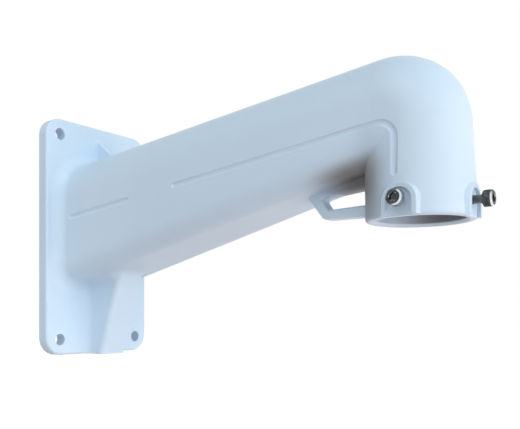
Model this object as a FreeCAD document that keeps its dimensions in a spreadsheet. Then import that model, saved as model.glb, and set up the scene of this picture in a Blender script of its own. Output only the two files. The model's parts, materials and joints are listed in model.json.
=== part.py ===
import FreeCAD, Part
import Sketcher
import math
import os

# Long wall bracket for a dome camera: a hollow casting and the three screws that clamp the spigot
# Millimetres, X to the right seen from the room, Y into the wall, Z up, wall face at Y zero

doc = FreeCAD.newDocument("camera_wall_bracket")
sheet = doc.addObject("Spreadsheet::Sheet", "sizes")
rows_used = 0


def size(name, value):
    """Write one named size into the sheet and give the value back."""
    global rows_used
    rows_used += 1
    sheet.set(f"A{rows_used}", name)
    sheet.set(f"B{rows_used}", f"{value:.4f}")
    sheet.setAlias(f"B{rows_used}", name)
    return value


# Wall plate
plate_width = size("plate_width", 104.0)
plate_height = size("plate_height", 183.0)
plate_thick = size("plate_thick", 9.6)
plate_corner = size("plate_corner", 14.0)
plate_edge_round = size("plate_edge_round", 2.0)
bolt_span_x = size("bolt_span_x", 79.0)
bolt_span_z = size("bolt_span_z", 159.0)
bolt_hole_d = size("bolt_hole_d", 9.0)
bolt_boss_r = size("bolt_boss_r", 9.0)
back_rim = size("back_rim", 5.0)
back_depth = size("back_depth", 4.6)

# Tapered arm: half widths, and heights of its top and underside at the wall face
wall_thick = size("wall_thick", 4.5)
arm_half_root = size("arm_half_root", 41.0)
arm_half_end = size("arm_half_end", 28.4)
arm_top_root = size("arm_top_root", 56.6)
arm_low_root = size("arm_low_root", -38.2)
arm_low_slope = size("arm_low_slope", 0.24)
arm_round_top = size("arm_round_top", 27.0)
arm_round_low = size("arm_round_low", 17.0)
arm_round_low_end = size("arm_round_low_end", 15.0)
hollow_round_low = size("hollow_round_low", 11.5)
hollow_round_low_end = size("hollow_round_low_end", 10.5)
root_blend = size("root_blend", 9.0)

# Elbow, turned about a line across the arm
elbow_y = size("elbow_y", -263.6)
elbow_z = size("elbow_z", 43.8)
elbow_outer = size("elbow_outer", 42.0)
elbow_tilt = size("elbow_tilt", 6.3)
elbow_crown = size("elbow_crown", 0.5)

# Collar for the spigot
collar_y = size("collar_y", -279.0)
rim_z = size("rim_z", -7.1)
rim_outer = size("rim_outer", 29.8)
rim_round = size("rim_round", 2.0)
bore_radius = size("bore_radius", 24.25)
bore_lead = size("bore_lead", 1.6)
bore_depth = size("bore_depth", 28.0)

# Web under the arm, rib over it and safety eye at the collar
web_half = size("web_half", 12.6)
web_foot_y = size("web_foot_y", -26.5)
web_top_y = size("web_top_y", -53.0)
web_top_z = size("web_top_z", -14.0)
web_round = size("web_round", 4.0)
web_blend = size("web_blend", 8.0)
rib_half = size("rib_half", 3.0)
rib_top_z = size("rib_top_z", plate_height / 2 - 9.0)
rib_tip_y = size("rib_tip_y", -36.5)
rib_round = size("rib_round", 2.0)
eye_half = size("eye_half", 5.0)
eye_start_y = size("eye_start_y", -210.0)
eye_foot_y = size("eye_foot_y", -220.5)
eye_foot_z = size("eye_foot_z", -1.6)
eye_hole_top = size("eye_hole_top", 11.6)
eye_corner = size("eye_corner", 2.0)
eye_foot_round = size("eye_foot_round", 5.0)
eye_round = size("eye_round", 1.5)

# Clamp screws and their pads
clamp_z = size("clamp_z", 1.9)
arch_z = size("arch_z", 0.9)
pad_face = size("pad_face", 29.9)
pad_radius = size("pad_radius", 9.6)
pad_flare = size("pad_flare", 1.9)
pad_root = size("pad_root", 26.6)
pad_round = size("pad_round", 0.6)
recess_radius = size("recess_radius", 7.1)
recess_floor = size("recess_floor", 28.0)
screw_d = size("screw_d", 5.0)
screw_play = size("screw_play", 0.05)
screw_length = size("screw_length", 7.2)
head_d = size("head_d", 8.8)
head_length = size("head_length", 5.0)
left_seat = size("left_seat", 31.5)
front_seat = size("front_seat", 33.7)
right_seat = size("right_seat", 32.3)
socket_width = size("socket_width", 4.0)
socket_depth = size("socket_depth", 2.5)
head_chamfer = size("head_chamfer", 0.6)
tip_chamfer = size("tip_chamfer", 0.8)

# Casting groove along both sides
groove_tool_r = size("groove_tool_r", 2.4)
groove_depth = size("groove_depth", 1.0)
groove_root_z = size("groove_root_z", 11.2)
groove_slope = size("groove_slope", 0.121)
groove_turn_r = size("groove_turn_r", 9.5)
groove_drop_y = size("groove_drop_y", -276.3)
groove_end_z = size("groove_end_z", 16.0)
groove_first_y = size("groove_first_y", -23.0)
groove_gap_y = size("groove_gap_y", -82.0)
groove_second_y = size("groove_second_y", -125.0)

doc.recompute()

tilt = math.radians(elbow_tilt)
elbow_round = elbow_outer - arm_half_end
elbow_round_y = elbow_y - elbow_round
elbow_gap = elbow_z - (arm_low_root - arm_low_slope * elbow_y)
elbow_drop = elbow_gap / (math.cos(tilt) + arm_low_slope * math.sin(tilt))
throat_low_z = arm_low_root - arm_low_slope * elbow_round_y
X_LINE = FreeCAD.Vector(-1, 0, 0)


def plane_of(body, role):
    """Origin plane of a body by its role."""
    for feature in body.Origin.OriginFeatures:
        if feature.Role == role:
            return feature
    raise ValueError(role)


def new_body(name):
    body = doc.addObject("PartDesign::Body", name)
    body.Label = name
    return body


def new_sketch(body, name, role, shift=None, up=None, turn=None, across=None):
    """Sketch on an origin plane, moved along its normal or its own lines, or tilted by a sheet angle."""
    sketch = body.newObject("Sketcher::SketchObject", name)
    sketch.AttachmentSupport = [(plane_of(body, role), "")]
    sketch.MapMode = "FlatFace"
    if turn:
        turned = FreeCAD.Rotation(X_LINE, elbow_tilt)
        sketch.AttachmentOffset = FreeCAD.Placement(FreeCAD.Vector(0, 0, 0), turned)
    if shift:
        sketch.setExpression("AttachmentOffset.Base.z", shift)
    if up:
        sketch.setExpression("AttachmentOffset.Base.y", up)
    if across:
        sketch.setExpression("AttachmentOffset.Base.x", across)
    if turn:
        sketch.setExpression("AttachmentOffset.Rotation.Angle", turn)
    return sketch


def vec(x, y):
    return FreeCAD.Vector(x, y, 0)


def add_line(sketch, a, b):
    return sketch.addGeometry(Part.LineSegment(vec(*a), vec(*b)), False)


def add_circle(sketch, centre, radius):
    return sketch.addGeometry(Part.Circle(vec(*centre), FreeCAD.Vector(0, 0, 1), radius), False)


def add_arc(sketch, centre, radius, start, end):
    """Arc by centre, radius and two angles in degrees, always drawn counter-clockwise."""
    circle = Part.Circle(vec(*centre), FreeCAD.Vector(0, 0, 1), radius)
    return sketch.addGeometry(Part.ArcOfCircle(circle, math.radians(start), math.radians(end)), False)


def drive(sketch, kind, *terms, by):
    """Add a dimension and bind it to the sheet."""
    index = sketch.addConstraint(Sketcher.Constraint(kind, *terms, drive_value(by)))
    sketch.setExpression(f"Constraints[{index}]", by)
    return index


def drive_value(expression):
    """Value of a sheet expression, so that a dimension starts where it will end."""
    return float(sheet.evalExpression(expression.replace("sizes.", "")))


def polygon(sketch, corners):
    """Closed outline of straight lines whose corners are bound to the sheet."""
    points = [(drive_value(a), drive_value(b)) for a, b in corners]
    count = len(points)
    lines = [add_line(sketch, points[i], points[(i + 1) % count]) for i in range(count)]
    for i in range(count):
        sketch.addConstraint(Sketcher.Constraint("Coincident", lines[i], 2, lines[(i + 1) % count], 1))
    for i, (a, b) in enumerate(corners):
        drive(sketch, "DistanceX", -1, 1, lines[i], 1, by=a)
        drive(sketch, "DistanceY", -1, 1, lines[i], 1, by=b)
    return lines


def round_circle(sketch, x_by, y_by, radius_by):
    """Full circle bound to the sheet."""
    index = add_circle(sketch, (drive_value(x_by), drive_value(y_by)), drive_value(radius_by))
    drive(sketch, "Radius", index, by=radius_by)
    drive(sketch, "DistanceX", -1, 1, index, 3, by=x_by)
    drive(sketch, "DistanceY", -1, 1, index, 3, by=y_by)
    return index


def join_smoothly(sketch, pairs):
    """Meet end to end with a common tangent."""
    for first, first_end, second, second_end in pairs:
        sketch.addConstraint(Sketcher.Constraint("Tangent", first, first_end, second, second_end))


def box_section(sketch, half, top, low, round_top, round_low):
    """Section with straight sides, flat top and bottom and four round corners."""
    w = drive_value(half)
    t = drive_value(top)
    b = drive_value(low)
    rt = drive_value(round_top)
    rb = drive_value(round_low)
    right = add_line(sketch, (w, b + rb), (w, t - rt))
    top_right = add_arc(sketch, (w - rt, t - rt), rt, 0, 90)
    over = add_line(sketch, (w - rt, t), (-w + rt, t))
    top_left = add_arc(sketch, (-w + rt, t - rt), rt, 90, 180)
    left = add_line(sketch, (-w, t - rt), (-w, b + rb))
    low_left = add_arc(sketch, (-w + rb, b + rb), rb, 180, 270)
    under = add_line(sketch, (-w + rb, b), (w - rb, b))
    low_right = add_arc(sketch, (w - rb, b + rb), rb, 270, 360)
    join_smoothly(sketch, [
        (right, 2, top_right, 1), (top_right, 2, over, 1), (over, 2, top_left, 1), (top_left, 2, left, 1),
        (left, 2, low_left, 1), (low_left, 2, under, 1), (under, 2, low_right, 1), (low_right, 2, right, 1)])
    for edge in (right, left):
        sketch.addConstraint(Sketcher.Constraint("Vertical", edge))
    for edge in (over, under):
        sketch.addConstraint(Sketcher.Constraint("Horizontal", edge))
    drive(sketch, "DistanceX", -1, 1, right, 1, by=half)
    drive(sketch, "DistanceX", left, 1, -1, 1, by=half)
    drive(sketch, "DistanceY", -1, 1, over, 1, by=top)
    drive(sketch, "DistanceY", -1, 1, under, 1, by=low)
    drive(sketch, "Radius", top_right, by=round_top)
    drive(sketch, "Radius", low_right, by=round_low)
    sketch.addConstraint(Sketcher.Constraint("Equal", top_right, top_left))
    sketch.addConstraint(Sketcher.Constraint("Equal", low_right, low_left))


def arch_section(sketch, half, centre, low, round_low, crown):
    """Section with a half-round top in three arcs, straight sides and round lower corners."""
    w = drive_value(half)
    c = drive_value(centre)
    b = drive_value(low)
    rb = drive_value(round_low)
    k = math.degrees(math.asin(drive_value(crown) / w))
    right = add_line(sketch, (w, b + rb), (w, c))
    arc_right = add_arc(sketch, (0, c), w, 0, 90 - k)
    arc_over = add_arc(sketch, (0, c), w, 90 - k, 90 + k)
    arc_left = add_arc(sketch, (0, c), w, 90 + k, 180)
    left = add_line(sketch, (-w, c), (-w, b + rb))
    low_left = add_arc(sketch, (-w + rb, b + rb), rb, 180, 270)
    under = add_line(sketch, (-w + rb, b), (w - rb, b))
    low_right = add_arc(sketch, (w - rb, b + rb), rb, 270, 360)
    join_smoothly(sketch, [
        (right, 2, arc_right, 1), (arc_left, 2, left, 1),
        (left, 2, low_left, 1), (low_left, 2, under, 1), (under, 2, low_right, 1), (low_right, 2, right, 1)])
    sketch.addConstraint(Sketcher.Constraint("Coincident", arc_right, 2, arc_over, 1))
    sketch.addConstraint(Sketcher.Constraint("Coincident", arc_over, 2, arc_left, 1))
    sketch.addConstraint(Sketcher.Constraint("Coincident", arc_right, 3, arc_over, 3))
    sketch.addConstraint(Sketcher.Constraint("Coincident", arc_right, 3, arc_left, 3))
    for edge in (right, left):
        sketch.addConstraint(Sketcher.Constraint("Vertical", edge))
    sketch.addConstraint(Sketcher.Constraint("Horizontal", under))
    drive(sketch, "DistanceX", -1, 1, right, 1, by=half)
    drive(sketch, "DistanceX", left, 1, -1, 1, by=half)
    drive(sketch, "DistanceY", -1, 1, arc_right, 3, by=centre)
    drive(sketch, "DistanceY", -1, 1, under, 1, by=low)
    drive(sketch, "Radius", low_right, by=round_low)
    sketch.addConstraint(Sketcher.Constraint("Equal", low_right, low_left))
    drive(sketch, "DistanceX", -1, 1, arc_over, 1, by=crown)
    drive(sketch, "DistanceX", arc_over, 2, -1, 1, by=crown)


def half_section(sketch, half, low, round_low, top=None):
    """Lower half of the arm's section: flat top on the turning line, round lower corners."""
    w = drive_value(half)
    b = drive_value(low)
    rb = drive_value(round_low)
    t = drive_value(top) if top else 0.0
    right = add_line(sketch, (w, b + rb), (w, t))
    over = add_line(sketch, (w, t), (-w, t))
    left = add_line(sketch, (-w, t), (-w, b + rb))
    low_left = add_arc(sketch, (-w + rb, b + rb), rb, 180, 270)
    under = add_line(sketch, (-w + rb, b), (w - rb, b))
    low_right = add_arc(sketch, (w - rb, b + rb), rb, 270, 360)
    sketch.addConstraint(Sketcher.Constraint("Coincident", right, 2, over, 1))
    sketch.addConstraint(Sketcher.Constraint("Coincident", over, 2, left, 1))
    join_smoothly(sketch, [
        (left, 2, low_left, 1), (low_left, 2, under, 1), (under, 2, low_right, 1), (low_right, 2, right, 1)])
    for edge in (right, left):
        sketch.addConstraint(Sketcher.Constraint("Vertical", edge))
    for edge in (over, under):
        sketch.addConstraint(Sketcher.Constraint("Horizontal", edge))
    drive(sketch, "DistanceX", -1, 1, right, 1, by=half)
    drive(sketch, "DistanceX", left, 1, -1, 1, by=half)
    if top:
        drive(sketch, "DistanceY", -1, 1, over, 1, by=top)
    else:
        sketch.addConstraint(Sketcher.Constraint("PointOnObject", over, 1, -1))
    drive(sketch, "DistanceY", -1, 1, under, 1, by=low)
    drive(sketch, "Radius", low_right, by=round_low)
    sketch.addConstraint(Sketcher.Constraint("Equal", low_right, low_left))


def turned_section(sketch, half, centre):
    """Upper part of the arm's section, standing on the turning line, with a half-round top."""
    w = drive_value(half)
    c = drive_value(centre)
    foot = add_line(sketch, (-w, 0), (w, 0))
    right = add_line(sketch, (w, 0), (w, c))
    over = add_arc(sketch, (0, c), w, 0, 180)
    left = add_line(sketch, (-w, c), (-w, 0))
    sketch.addConstraint(Sketcher.Constraint("Coincident", foot, 2, right, 1))
    sketch.addConstraint(Sketcher.Constraint("Coincident", left, 2, foot, 1))
    join_smoothly(sketch, [(right, 2, over, 1), (over, 2, left, 1)])
    for edge in (right, left):
        sketch.addConstraint(Sketcher.Constraint("Vertical", edge))
    sketch.addConstraint(Sketcher.Constraint("PointOnObject", foot, 1, -1))
    sketch.addConstraint(Sketcher.Constraint("PointOnObject", foot, 2, -1))
    drive(sketch, "DistanceX", -1, 1, right, 1, by=half)
    drive(sketch, "DistanceX", left, 1, -1, 1, by=half)
    drive(sketch, "DistanceY", -1, 1, over, 3, by=centre)


def disc_section(sketch, outer, low, edge_round):
    """Half section of a flat disc, from its axis out to a rounded lower edge."""
    o = drive_value(outer)
    b = drive_value(low)
    r = drive_value(edge_round)
    floor = add_line(sketch, (0, b), (o - r, b))
    edge = add_arc(sketch, (o - r, b + r), r, 270, 360)
    over = add_line(sketch, (o, b + r), (0, b + r))
    middle = add_line(sketch, (0, b + r), (0, b))
    join_smoothly(sketch, [(floor, 2, edge, 1)])
    sketch.addConstraint(Sketcher.Constraint("Coincident", edge, 2, over, 1))
    sketch.addConstraint(Sketcher.Constraint("Coincident", over, 2, middle, 1))
    sketch.addConstraint(Sketcher.Constraint("Coincident", middle, 2, floor, 1))
    for line in (floor, over):
        sketch.addConstraint(Sketcher.Constraint("Horizontal", line))
    sketch.addConstraint(Sketcher.Constraint("PointOnObject", floor, 1, -2))
    sketch.addConstraint(Sketcher.Constraint("PointOnObject", over, 2, -2))
    drive(sketch, "DistanceX", -1, 1, over, 1, by=outer)
    drive(sketch, "DistanceY", -1, 1, floor, 1, by=low)
    drive(sketch, "Radius", edge, by=edge_round)


def arch_outline(sketch, along, up, radius, foot):
    """Upright outline with a round head, open end down."""
    a = drive_value(along)
    u = drive_value(up)
    r = drive_value(radius)
    f = drive_value(foot)
    over = add_arc(sketch, (a, u), r, 0, 180)
    left = add_line(sketch, (a - r, u), (a - r, f))
    base = add_line(sketch, (a - r, f), (a + r, f))
    right = add_line(sketch, (a + r, f), (a + r, u))
    join_smoothly(sketch, [(right, 2, over, 1), (over, 2, left, 1)])
    sketch.addConstraint(Sketcher.Constraint("Coincident", left, 2, base, 1))
    sketch.addConstraint(Sketcher.Constraint("Coincident", base, 2, right, 1))
    sketch.addConstraint(Sketcher.Constraint("Horizontal", base))
    sketch.addConstraint(Sketcher.Constraint("Vertical", left))
    sketch.addConstraint(Sketcher.Constraint("Vertical", right))
    drive(sketch, "DistanceX", -1, 1, over, 3, by=along)
    drive(sketch, "DistanceY", -1, 1, over, 3, by=up)
    drive(sketch, "Radius", over, by=radius)
    drive(sketch, "DistanceY", -1, 1, base, 1, by=foot)


def loft(body, kind, name, first, second):
    feature = body.newObject(f"PartDesign::{kind}", name)
    feature.Profile = first
    feature.Sections = [second]
    feature.Ruled = True
    finish(feature)
    return feature


def pad(body, name, sketch, length, midplane=False, reverse=False):
    feature = body.newObject("PartDesign::Pad", name)
    feature.Profile = sketch
    feature.Type = 0
    feature.setExpression("Length", length)
    feature.SideType = "Symmetric" if midplane else "One side"
    feature.Reversed = reverse
    finish(feature)
    return feature


def elbow_sketch(body, name):
    """Sketch on the tilted plane where the arm meets the elbow."""
    return new_sketch(body, name, "XZ_Plane", "-sizes.elbow_y", "sizes.elbow_z", "sizes.elbow_tilt")


def pocket(body, name, sketch, length, midplane=False, reverse=False):
    before = body.Shape.Volume
    feature = body.newObject("PartDesign::Pocket", name)
    feature.Profile = sketch
    feature.Type = 0
    feature.setExpression("Length", length)
    feature.SideType = "Symmetric" if midplane else "One side"
    feature.Reversed = reverse
    finish(feature)
    if feature.Shape.Volume >= before - 0.5:
        raise ValueError(f"{name} cut nothing")
    return feature


def finish(feature):
    """Recompute and stop at the first feature that fails."""
    doc.recompute()
    if "Invalid" in feature.State or "Error" in feature.State or feature.Shape.isNull():
        raise ValueError(f"{feature.Name} failed: {feature.State}")
    if not feature.Shape.isValid():
        raise ValueError(f"{feature.Name} is not a valid shape")


def soften(body, name, base, edges, radius):
    """Round the named edges of a feature."""
    if not edges:
        raise ValueError(f"{name} found no edges")
    feature = body.newObject("PartDesign::Fillet", name)
    feature.Base = (base, edges)
    feature.setExpression("Radius", radius)
    finish(feature)
    return feature


def edges_where(feature, test):
    """Names of the edges whose sampled points all pass a test."""
    names = []
    for number, edge in enumerate(feature.Shape.Edges, start=1):
        first, last = edge.ParameterRange
        points = [edge.valueAt(first + (last - first) * k / 6) for k in range(7)]
        if all(test(point) for point in points):
            names.append(f"Edge{number}")
    return names


casting = new_body("bracket_casting")

# Wall plate with round corners and softened front edges
plate_outline = new_sketch(casting, "PlateOutline", "XZ_Plane")
box_section(plate_outline, "sizes.plate_width / 2", "sizes.plate_height / 2", "-sizes.plate_height / 2",
            "sizes.plate_corner", "sizes.plate_corner")
plate = pad(casting, "Plate", plate_outline, "sizes.plate_thick")
front_edges = edges_where(plate, lambda p: abs(p.y + plate_thick) < 0.01)
plate = soften(casting, "PlateEdge", plate, front_edges, "sizes.plate_edge_round")

# Arm: a flat-topped section at the wall runs into a half-round one at the elbow
size("elbow_drop", elbow_drop)
size("elbow_round_y", elbow_round_y)
size("throat_low_z", throat_low_z)
doc.recompute()
arm_root = new_sketch(casting, "ArmRoot", "XZ_Plane")
box_section(arm_root, "sizes.arm_half_root", "sizes.arm_top_root", "sizes.arm_low_root",
            "sizes.arm_round_top", "sizes.arm_round_low")
arm_end = new_sketch(casting, "ArmEnd", "XZ_Plane", "-sizes.elbow_y", "sizes.elbow_z", "sizes.elbow_tilt")
arch_section(arm_end, "sizes.arm_half_end", "sizes.elbow_outer - sizes.arm_half_end", "-sizes.elbow_drop",
             "sizes.arm_round_low_end", "sizes.elbow_crown")
arm = loft(casting, "AdditiveLoft", "Arm", arm_root, arm_end)

# Broad blend where the arm grows out of the plate
root_edges = edges_where(arm, lambda p: abs(p.y + plate_thick) < 0.02 and abs(p.x) < arm_half_root + 1)
arm = soften(casting, "RootBlend", arm, root_edges, "sizes.root_blend")

# Web from the plate up to the arm's underside
web_side = new_sketch(casting, "WebSide", "YZ_Plane")
polygon(web_side, [
    ("-sizes.plate_thick / 2", "-sizes.plate_height / 2"),
    ("sizes.web_foot_y", "-sizes.plate_height / 2"),
    ("sizes.web_top_y", "sizes.web_top_z"),
    ("-sizes.plate_thick / 2", "sizes.web_top_z")])
web = pad(casting, "Web", web_side, "2 * sizes.web_half", midplane=True)


def on_web_front(p):
    return p.z < arm_low_root + 14 and abs(abs(p.x) - web_half) < 0.1 and p.y < -plate_thick - 6


def is_front_line(name):
    edge = web.Shape.getElement(name)
    return edge.Length > 40 and abs(edge.CenterOfMass.y + 37) < 6


def on_web_foot(p):
    if p.y > -plate_thick + 0.02 or abs(p.x) > web_half + 0.1:
        return False
    along_plate = abs(abs(p.x) - web_half) < 0.1 and abs(p.y + plate_thick) < 0.02
    return along_plate or web_round - plate_height / 2 < p.z + 0.5 < -20


web_front = [name for name in edges_where(web, on_web_front) if is_front_line(name)]
web = soften(casting, "WebFront", web, web_front, "sizes.web_round")
web = soften(casting, "WebBlend", web, edges_where(web, on_web_foot), "sizes.web_blend")

# Rib over the arm
rib_side = new_sketch(casting, "RibSide", "YZ_Plane")
polygon(rib_side, [
    ("-sizes.plate_thick / 2", "sizes.rib_top_z"),
    ("-sizes.plate_thick", "sizes.rib_top_z"),
    ("sizes.rib_tip_y", "sizes.arm_top_root + 4"),
    ("sizes.rib_tip_y", "sizes.arm_top_root - 4"),
    ("-sizes.plate_thick / 2", "sizes.arm_top_root - 4")])
rib = pad(casting, "Rib", rib_side, "2 * sizes.rib_half", midplane=True)
rib_edges = edges_where(rib, lambda p: p.z > 50 and abs(abs(p.x) - rib_half) < 0.3)
rib = soften(casting, "RibRound", rib, rib_edges, "sizes.rib_round")

# Elbow turned down to the collar
elbow_profile = elbow_sketch(casting, "ElbowProfile")
turned_section(elbow_profile, "sizes.arm_half_end", "sizes.elbow_outer - sizes.arm_half_end")
elbow = casting.newObject("PartDesign::Revolution", "Elbow")
elbow.Profile = elbow_profile
elbow.ReferenceAxis = (elbow_profile, ["H_Axis"])
elbow.setExpression("Angle", "90 + sizes.elbow_tilt")
elbow.Reversed = False
finish(elbow)

# Throat: the lower half of the arm runs on to the collar's own centre plane
throat_start = elbow_sketch(casting, "ThroatStart")
half_section(throat_start, "sizes.arm_half_end", "-sizes.elbow_drop", "sizes.arm_round_low_end")
throat_end = new_sketch(casting, "ThroatEnd", "XZ_Plane", "-sizes.elbow_round_y")
half_section(throat_end, "sizes.arm_half_end", "sizes.throat_low_z", "sizes.arm_round_low_end",
             "sizes.elbow_z")
throat = loft(casting, "AdditiveLoft", "Throat", throat_start, throat_end)

# Safety eye between the underside and the back of the collar
size("eye_start_z", arm_low_root - arm_low_slope * eye_start_y)
size("eye_end_y", collar_y + rim_outer - 2)
size("eye_end_z", arm_low_root - arm_low_slope * (collar_y + rim_outer) + 2)
doc.recompute()
eye_side = new_sketch(casting, "EyeSide", "YZ_Plane")
polygon(eye_side, [
    ("sizes.eye_start_y", "sizes.eye_start_z + 2"),
    ("sizes.eye_start_y", "sizes.eye_start_z"),
    ("sizes.eye_foot_y", "sizes.eye_foot_z"),
    ("sizes.eye_end_y", "sizes.eye_foot_z - 0.4"),
    ("sizes.eye_end_y", "sizes.eye_end_z")])
eye = pad(casting, "Eye", eye_side, "2 * sizes.eye_half", midplane=True)

eye_hole = new_sketch(casting, "EyeHole", "YZ_Plane")
polygon(eye_hole, [
    ("sizes.eye_start_y - 8.5", "sizes.eye_hole_top"),
    ("sizes.eye_start_y - 14", "sizes.eye_foot_z + 5.6"),
    ("sizes.eye_end_y - 2", "sizes.eye_foot_z + 6.4"),
    ("sizes.eye_end_y - 2", "sizes.eye_hole_top + 3.2")])
eye = pocket(casting, "EyeOpening", eye_hole, "4 * sizes.eye_half", midplane=True)


def inside_eye(p):
    return abs(p.x) < eye_half + 0.1 and -240 < p.y < eye_start_y - 5 and 2 < p.z < 20


def runs_across(name):
    return abs(eye.Shape.getElement(name).CenterOfMass.x) < 0.01


def at_eye_foot(p):
    return abs(p.x) < eye_half + 0.1 and math.hypot(p.y - eye_foot_y, p.z - eye_foot_z) < 0.5


def on_eye_side(p):
    return abs(abs(p.x) - eye_half) < 0.02 and p.z < 30 and p.y < -150


def is_free_rim(name):
    middle = eye.Shape.getElement(name).CenterOfMass
    return middle.y > -251 and middle.z < arm_low_root - arm_low_slope * middle.y - 2


eye_corners = [name for name in edges_where(eye, inside_eye) if runs_across(name)]
eye = soften(casting, "EyeCorners", eye, eye_corners, "sizes.eye_corner")
eye = soften(casting, "EyeFoot", eye, edges_where(eye, at_eye_foot), "sizes.eye_foot_round")
eye_rims = [name for name in edges_where(eye, on_eye_side) if is_free_rim(name)]
eye = soften(casting, "EyeRound", eye, eye_rims, "sizes.eye_round")

# Collar, widening a little from the elbow to the rim
collar_top = new_sketch(casting, "CollarTop", "XY_Plane", "sizes.elbow_z")
round_circle(collar_top, "0", "sizes.elbow_round_y", "sizes.arm_half_end")
collar_rim = new_sketch(casting, "CollarRim", "XY_Plane", "sizes.rim_z + sizes.rim_round")
round_circle(collar_rim, "0", "sizes.collar_y", "sizes.rim_outer")
collar = loft(casting, "AdditiveLoft", "Collar", collar_top, collar_rim)

# Rim of the collar, turned with a soft outer edge
rim_profile = new_sketch(casting, "RimProfile", "YZ_Plane", across="sizes.collar_y")
disc_section(rim_profile, "sizes.rim_outer", "sizes.rim_z", "sizes.rim_round")
collar = casting.newObject("PartDesign::Revolution", "Rim")
collar.Profile = rim_profile
collar.ReferenceAxis = (rim_profile, ["V_Axis"])
collar.Angle = 360
finish(collar)

# Raised pads round the clamp screws: left, front and right
PADS = [("Left", "YZ_Plane", "-sizes.pad_face", "sizes.collar_y", True),
        ("Front", "XZ_Plane", "-sizes.collar_y + sizes.pad_face", "0", False),
        ("Right", "YZ_Plane", "sizes.pad_face", "sizes.collar_y", False)]
last = collar
for side, role, shift, along, to_right in PADS:
    root_shift = shift.replace("pad_face", "pad_root")
    root = new_sketch(casting, f"{side}PadRoot", role, root_shift)
    arch_outline(root, along, "sizes.arch_z", "sizes.pad_radius + sizes.pad_flare", "sizes.rim_z + 0.5")
    face = new_sketch(casting, f"{side}PadFace", role, shift)
    arch_outline(face, along, "sizes.arch_z", "sizes.pad_radius", "sizes.rim_z + 0.5")
    last = loft(casting, "AdditiveLoft", f"{side}Pad", root, face)


def on_pad_face(p):
    if p.z < rim_z + 0.4 or p.z > 20:
        return False
    return abs(abs(p.x) - pad_face) < 0.01 or abs(p.y - collar_y + pad_face) < 0.01


last = soften(casting, "PadRound", last, edges_where(last, on_pad_face), "sizes.pad_round")

# Hollow of the arm, elbow and throat for the cables
HOLLOW_END = "sizes.arm_half_end - sizes.wall_thick"
hollow_root = new_sketch(casting, "HollowRoot", "XZ_Plane")
box_section(hollow_root, "sizes.arm_half_root - sizes.wall_thick", "sizes.arm_top_root - sizes.wall_thick",
            "sizes.arm_low_root + sizes.wall_thick", "sizes.arm_round_top - sizes.wall_thick",
            "sizes.hollow_round_low")
hollow_end = elbow_sketch(casting, "HollowEnd")
arch_section(hollow_end, HOLLOW_END, "sizes.elbow_outer - sizes.arm_half_end",
             "-sizes.elbow_drop + sizes.wall_thick", "sizes.hollow_round_low_end",
             "sizes.elbow_crown * (sizes.arm_half_end - sizes.wall_thick) / sizes.arm_half_end")
last = loft(casting, "SubtractiveLoft", "ArmHollow", hollow_root, hollow_end)
elbow_hollow = elbow_sketch(casting, "ElbowHollowProfile")
turned_section(elbow_hollow, HOLLOW_END, "sizes.elbow_outer - sizes.arm_half_end")
last = casting.newObject("PartDesign::Groove", "ElbowHollow")
last.Profile = elbow_hollow
last.ReferenceAxis = (elbow_hollow, ["H_Axis"])
last.setExpression("Angle", "90 + sizes.elbow_tilt")
last.Reversed = False
finish(last)
throat_hollow = elbow_sketch(casting, "ThroatHollowStart")
half_section(throat_hollow, HOLLOW_END, "-sizes.elbow_drop + sizes.wall_thick",
             "sizes.hollow_round_low_end")
throat_hollow_end = new_sketch(casting, "ThroatHollowEnd", "XZ_Plane", "-sizes.elbow_round_y")
half_section(throat_hollow_end, HOLLOW_END, "sizes.throat_low_z + sizes.wall_thick",
             "sizes.hollow_round_low_end", "sizes.elbow_z")
last = loft(casting, "SubtractiveLoft", "ThroatHollow", throat_hollow, throat_hollow_end)

# Bore for the spigot, then the passage up into the elbow
bore_outline = new_sketch(casting, "BoreOutline", "XY_Plane", "sizes.rim_z")
round_circle(bore_outline, "0", "sizes.collar_y", "sizes.bore_radius")
last = pocket(casting, "Bore", bore_outline, "sizes.bore_depth", reverse=True)
passage_low = new_sketch(casting, "PassageLow", "XY_Plane", "sizes.rim_z + sizes.bore_depth")
round_circle(passage_low, "0", "sizes.collar_y", "sizes.bore_radius")
passage_top = new_sketch(casting, "PassageTop", "XY_Plane", "sizes.elbow_z")
round_circle(passage_top, "0", "sizes.elbow_round_y", "sizes.arm_half_end - sizes.wall_thick")
last = loft(casting, "SubtractiveLoft", "Passage", passage_low, passage_top)

# Hollow of the web, open at the wall
web_hollow = new_sketch(casting, "WebHollowSide", "YZ_Plane")
polygon(web_hollow, [
    ("0", "sizes.back_rim * 1.2 - sizes.plate_height / 2"),
    ("sizes.web_foot_y + sizes.wall_thick - 2", "sizes.back_rim * 1.2 - sizes.plate_height / 2"),
    ("sizes.web_foot_y - 18", "-26"),
    ("sizes.web_foot_y - 18", "-18"),
    ("0", "-18")])
last = pocket(casting, "WebHollow", web_hollow, "2 * (sizes.web_half - sizes.wall_thick)", midplane=True)

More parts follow.
